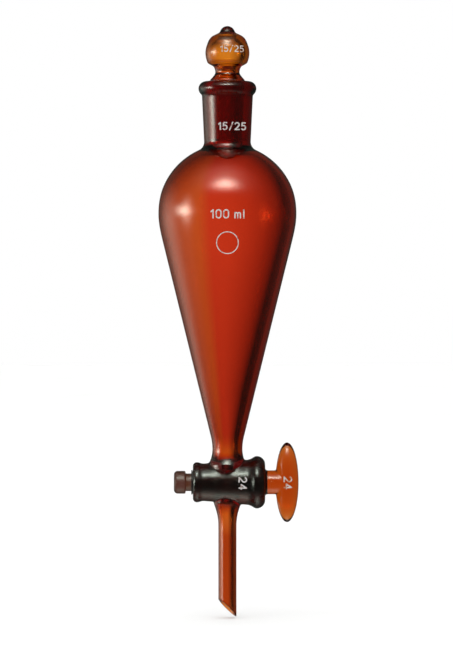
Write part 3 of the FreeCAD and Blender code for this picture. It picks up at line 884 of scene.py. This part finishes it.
def soft_light(tree, direction, azimuth, elevation, width, height, strength):
    """Brightness of a soft light whose edges fade out; width and height are in degrees."""
    centre = towards(azimuth, elevation)
    side = towards(azimuth + 90, 0)
    up = side.cross(centre) * -1
    fall = 0.0
    for axis, spread in ((side, width), (up, height)):
        offset = calculated(tree, "DIVIDE", along(tree, direction, axis), math.sin(math.radians(spread)))
        fall = calculated(tree, "ADD", fall, calculated(tree, "MULTIPLY", offset, offset))
    glow = calculated(tree, "EXPONENT", calculated(tree, "MULTIPLY", fall, -0.5))
    facing = calculated(tree, "GREATER_THAN", along(tree, direction, centre), 0.0)
    return calculated(tree, "MULTIPLY", calculated(tree, "MULTIPLY", glow, facing), strength)


def black_cards(tree, direction):
    """Darkness of the card that stands beyond the funnel, from just right of +Y round to +X,
    and of the one overhead."""
    turn = calculated(tree, "ARCTAN2", along(tree, direction, (1, 0, 0)), along(tree, direction, (0, 1, 0)))
    near = mapped(tree, turn, math.radians(0.5), math.radians(9.5), 0.0, 0.99)
    far = mapped(tree, turn, math.radians(75), math.radians(100), 1.0, 0.0)
    overhead = mapped(tree, along(tree, direction, (0, 0, 1)), 0.06, 0.34, 0.0, 0.9)
    return calculated(tree, "MAXIMUM", calculated(tree, "MULTIPLY", near, far), overhead)


def make_world():
    """White backdrop all round, and a dim room with soft lights that only mirrored rays see."""
    world = bpy.data.worlds.new("studio")
    world.use_nodes = True
    bpy.context.scene.world = world
    world.cycles.sampling_method = "NONE"
    tree = world.node_tree
    tree.nodes.clear()
    output = tree.nodes.new("ShaderNodeOutputWorld")
    path = tree.nodes.new("ShaderNodeLightPath")
    direction = tree.nodes.new("ShaderNodeTexCoord").outputs["Generated"]
    lights = blended(tree, path.outputs["Is Reflection Ray"], 0.4, 0.06)
    for light in (
        # azimuth, elevation, width, height, strength
        (-5, 48, 11.0, 6.5, 14.5),
        (-9, 63, 19.0, 13.0, 1.6),
        (-80, 3, 10.0, 3.5, 9.5),
        (-73, 2, 7.0, 8.5, 6.5),
        (-112, -6, 16.0, 13.0, 1.4),
        (0, -84, 16.0, 16.0, 1.6),
    ):
        lights = calculated(tree, "ADD", lights, soft_light(tree, direction, *light))
    card = black_cards(tree, direction)
    through = mapped(tree, path.outputs["Transmission Depth"], 2.0, 3.0, 0.0, 1.0)
    backdrop = calculated(tree, "SUBTRACT", 1.0, calculated(tree, "MULTIPLY", card, through))
    mirrored = mapped(tree, path.outputs["Glossy Depth"], 0.0, 1.0, 0.0, 1.0)
    scattered = mapped(tree, path.outputs["Diffuse Depth"], 0.0, 1.0, 0.0, 1.0)
    strength = blended(tree, scattered, blended(tree, mirrored, backdrop, lights), 1.2)
    shade = tree.nodes.new("ShaderNodeBackground")
    colour = ramp(tree, mirrored, WHITE, (0.9, 1.0, 0.86), 0.0, 1.0)
    tree.links.new(colour, shade.inputs["Color"])
    tree.links.new(strength, shade.inputs["Strength"])
    tree.links.new(shade.outputs["Background"], output.inputs["Surface"])


def make_overhead_light():
    """Large soft light over the floor, for a faint shadow under the tip."""
    light = bpy.data.lights.new("overhead", "AREA")
    light.size = 0.8
    light.energy = 2.0
    lamp = bpy.data.objects.new("overhead", light)
    bpy.context.scene.collection.objects.link(lamp)
    lamp.location = (-0.2, -0.3, 1.2)
    lamp.rotation_mode = "QUATERNION"
    lamp.rotation_quaternion = lamp.location.to_track_quat("Z", "Y")
    lamp.visible_camera = False
    lamp.visible_glossy = False
    lamp.visible_transmission = False


def make_camera():
    """Long lens at the height of the middle of the frame, square to the stopcock."""
    range_m = 1.6
    frame_m = 0.2851
    aim = Vector((-0.0004, 0.0, -0.0264))
    elevation = math.radians(0.5)
    data = bpy.data.cameras.new("camera")
    data.lens = data.sensor_width * range_m / frame_m
    data.clip_start, data.clip_end = 0.01, 50.0
    camera = bpy.data.objects.new("camera", data)
    bpy.context.scene.collection.objects.link(camera)
    back = Vector((0, -math.cos(elevation), math.sin(elevation)))
    camera.location = aim + back * range_m
    camera.rotation_euler = back.to_track_quat("Z", "Y").to_euler()
    bpy.context.scene.camera = camera


def set_light_paths():
    cycles = bpy.context.scene.cycles
    cycles.max_bounces = 24
    cycles.transmission_bounces = 20
    cycles.glossy_bounces = 8
    bpy.context.scene.view_settings.view_transform = "Standard"


# ---- assembly -------------------------------------------------------------------------------

body_glass = amber_glass("amber_glass_body", (0.888, 0.4615, 0.05), 1300.0, body_tint)
stopper_glass = amber_glass("amber_glass_stopper", (0.925, 0.655, 0.0), 1450.0, stopper_tint)
key_glass = amber_glass("amber_glass_key", (0.868, 0.52, 0.0), 610.0, key_tint)
make_vessel(body_glass)
make_stopper(stopper_glass)
make_key(key_glass)
make_ring(ring_rubber())

body_enamel = white_enamel("white_enamel_body", (0.22, 0.09, 0.07), 0.46)
stopper_enamel = white_enamel("white_enamel_stopper", (0.36, 0.15, 0.05), 0.51)
for mark in ("capacity_mark", "marking_field", "socket_size_mark", "barrel_number"):
    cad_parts[mark].data.materials[0] = body_enamel
for mark in ("stopper_size_mark", "handle_number"):
    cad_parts[mark].data.materials[0] = stopper_enamel

make_floor()
make_world()
make_overhead_light()
make_camera()
set_light_paths()
